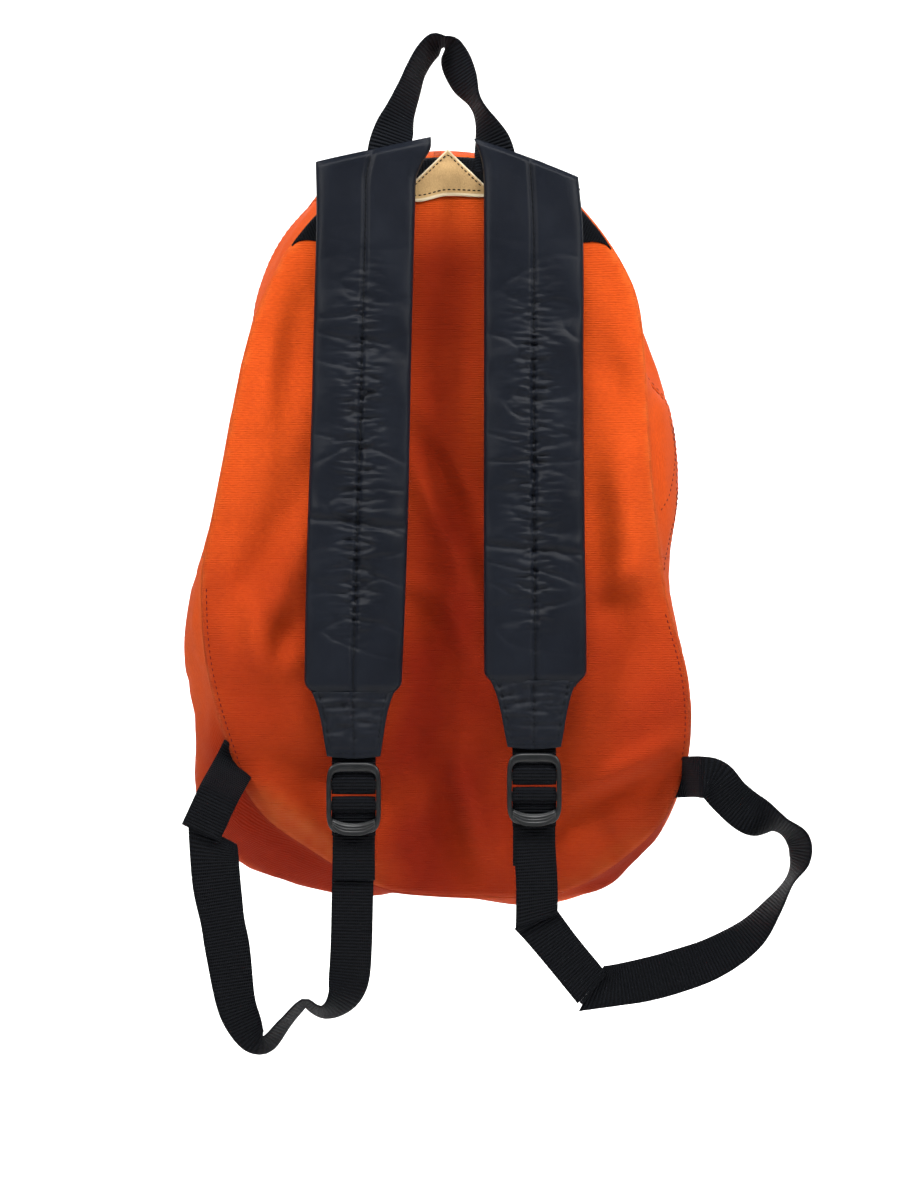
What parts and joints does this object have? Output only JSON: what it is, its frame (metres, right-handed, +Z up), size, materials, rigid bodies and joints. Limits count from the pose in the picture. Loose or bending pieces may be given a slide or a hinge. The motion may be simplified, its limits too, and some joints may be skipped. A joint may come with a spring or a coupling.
{
  "type": "travel backpack",
  "caption": "Canvas daypack with an arched zip opening, front pocket, padded shoulder straps on ladder locks, webbing haul loop and a plain suede patch.",
  "frame": {"origin": "where a hook bears under the crown of the haul handle", "axes": "+Z up as the bag hangs, -Y towards the shoulder straps, +X to the right seen from the straps"},
  "size_m": [0.3791, 0.1868, 0.604],
  "materials": {
    "canvas": "orange cotton canvas, plain weave, slightly faded at folds",
    "binding": "woven binding tape",
    "zip_tape": "woven zip tape",
    "zip_coil": "moulded nylon coil",
    "slider_metal": "black painted die-cast metal",
    "webbing": "ribbed nylon webbing",
    "suede": "brushed suede with raw edges",
    "pad_nylon": "packcloth nylon with a soft sheen",
    "foam": "closed-cell foam",
    "thread": "bonded nylon thread",
    "buckle_plastic": "moulded acetal with a fine texture"
  },
  "bodies": {
    "bag": {"back_panel": "canvas", "gusset_rear": "canvas", "gusset_side_left": "canvas", "bottom_panel": "canvas", "gusset_side_right": "canvas", "front_panel_lower": "canvas", "back_seam_binding": "binding", "front_seam_binding_lower": "binding", "zip_tape_rear": "zip_tape", "zip_coil_rear": "zip_coil", "pocket_gusset": "canvas", "pocket_top_strip": "canvas", "pocket_front": "canvas", "pocket_zip_tape": "zip_tape", "pocket_zip_coil": "zip_coil", "yoke_band": "webbing", "leather_patch": "suede", "lower_webbing_left": "webbing", "lower_webbing_right": "webbing", "side_tab_left": "webbing", "side_tab_right": "webbing"},
    "front_flap": {"front_panel_upper": "canvas", "gusset_front": "canvas", "front_seam_binding_upper": "binding", "zip_tape_front": "zip_tape", "zip_coil_front": "zip_coil"},
    "handle": {"haul_handle": "webbing"},
    "strap_left": {"strap_cover_left": "pad_nylon", "strap_foam_left": "foam", "strap_stitch_left": "thread", "strap_tab_left": "pad_nylon"},
    "strap_right": {"strap_cover_right": "pad_nylon", "strap_foam_right": "foam", "strap_stitch_right": "thread", "strap_tab_right": "pad_nylon"},
    "lock_left": {"ladder_lock_left": "buckle_plastic", "lock_loop_left": "webbing", "webbing_end_left": "webbing"},
    "lock_right": {"ladder_lock_right": "buckle_plastic", "lock_loop_right": "webbing", "webbing_end_right": "webbing"},
    "slider_left": {"main_slider_left": "slider_metal"},
    "pull_left": {"main_pull_left": "slider_metal"},
    "slider_right": {"main_slider_right": "slider_metal"},
    "pull_right": {"main_pull_right": "slider_metal"},
    "pocket_slider_body": {"pocket_slider": "slider_metal"},
    "pocket_pull_body": {"pocket_pull": "slider_metal"}
  },
  "joints": [
    {"name": "handle_flop", "type": "hinge", "parent": "bag", "child": "handle", "pos_m": [0, -0.001, -0.05], "axis": [1, 0, 0], "range_deg": [-65, 45]},
    {"name": "strap_left_swing", "type": "hinge", "parent": "bag", "child": "strap_left", "pos_m": [-0.049, -0.002, -0.054], "axis": [-1, 0, 0], "range_deg": [0, 45]},
    {"name": "strap_right_swing", "type": "hinge", "parent": "bag", "child": "strap_right", "pos_m": [0.056, -0.002, -0.054], "axis": [-1, 0, 0], "range_deg": [0, 50]},
    {"name": "lock_left_tilt", "type": "hinge", "parent": "strap_left", "child": "lock_left", "pos_m": [-0.049, -0.007, -0.43025], "axis": [-1, 0, 0], "range_deg": [0, 60]},
    {"name": "lock_right_tilt", "type": "hinge", "parent": "strap_right", "child": "lock_right", "pos_m": [0.056, -0.007, -0.42425], "axis": [-1, 0, 0], "range_deg": [0, 60]},
    {"name": "front_flap_open", "type": "hinge", "parent": "bag", "child": "front_flap", "pos_m": [0, 0.12925, -0.3045], "axis": [-1, 0, 0], "range_deg": [0, 80]},
    {"name": "main_slider_left_travel", "type": "hinge", "parent": "bag", "child": "slider_left", "pos_m": [0, 0.06, -0.171], "axis": [0, 1, 0], "range_deg": [-95, 0]},
    {"name": "main_slider_right_travel", "type": "hinge", "parent": "bag", "child": "slider_right", "pos_m": [0, 0.06, -0.171], "axis": [0, 1, 0], "range_deg": [0, 43]},
    {"name": "main_pull_left_lift", "type": "hinge", "parent": "slider_left", "child": "pull_left", "pos_m": [0.04275, 0.06, -0.05354], "axis": [0, -1, 0], "range_deg": [0, 120]},
    {"name": "main_pull_right_lift", "type": "hinge", "parent": "slider_right", "child": "pull_right", "pos_m": [0.06624, 0.06, -0.06499], "axis": [0, -1, 0], "range_deg": [0, 120]},
    {"name": "pocket_slider_travel", "type": "slide", "parent": "bag", "child": "pocket_slider_body", "axis": [1, 0, 0], "range_m": [0, 0.192]},
    {"name": "pocket_pull_lift", "type": "hinge", "parent": "pocket_slider_body", "child": "pocket_pull_body", "pos_m": [-0.096, 0.1715, -0.338], "axis": [1, 0, 0], "range_deg": [0, 120]}
  ]
}
